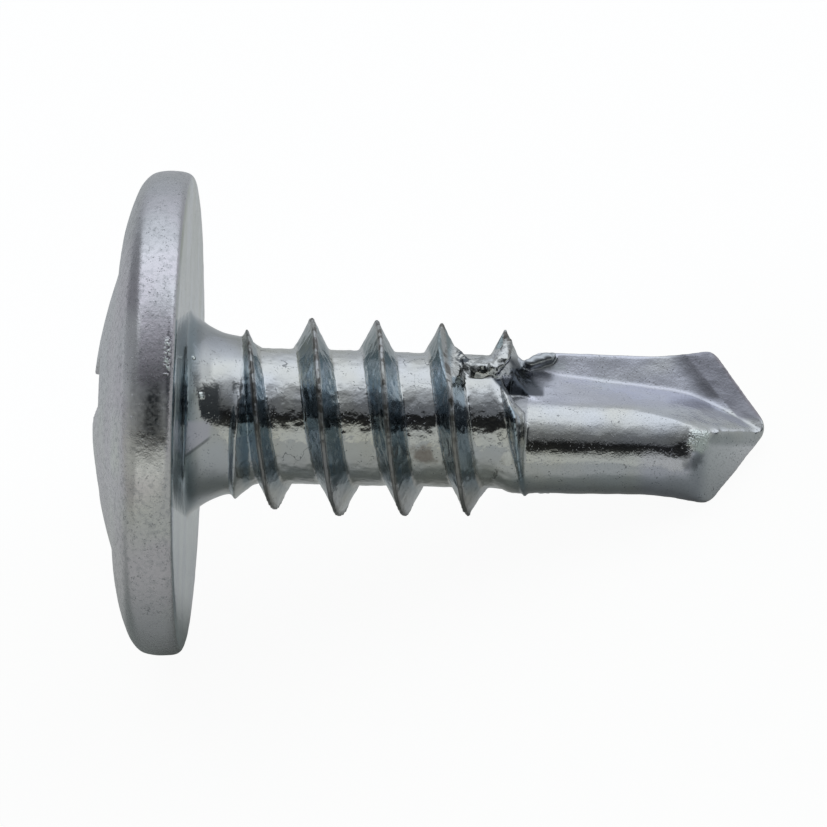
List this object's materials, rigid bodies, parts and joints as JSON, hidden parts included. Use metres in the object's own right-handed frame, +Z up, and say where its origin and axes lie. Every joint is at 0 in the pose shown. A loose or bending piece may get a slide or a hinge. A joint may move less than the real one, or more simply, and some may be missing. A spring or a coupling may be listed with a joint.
{
  "type": "self drilling screw",
  "caption": "Self drilling screw with a wide thin wafer head, cross recess, flared neck, coarse tapping thread and a two-flute drill point, bright zinc plated, lying on its side",
  "frame": {"origin": "on the level surface that the screw lies on, under the middle of its box", "axes": "+X level from head to drill point, +Z up; the screw's own axis falls towards the tip by its resting tilt, and it rests on the rim of the head and two corners of the drill point"},
  "size_m": [0.0144, 0.0104, 0.0099],
  "materials": {
    "zinc_plate": "bright zinc plated steel, semi-gloss"
  },
  "bodies": {
    "root": {"screw": "zinc_plate"}
  },
  "joints": []
}
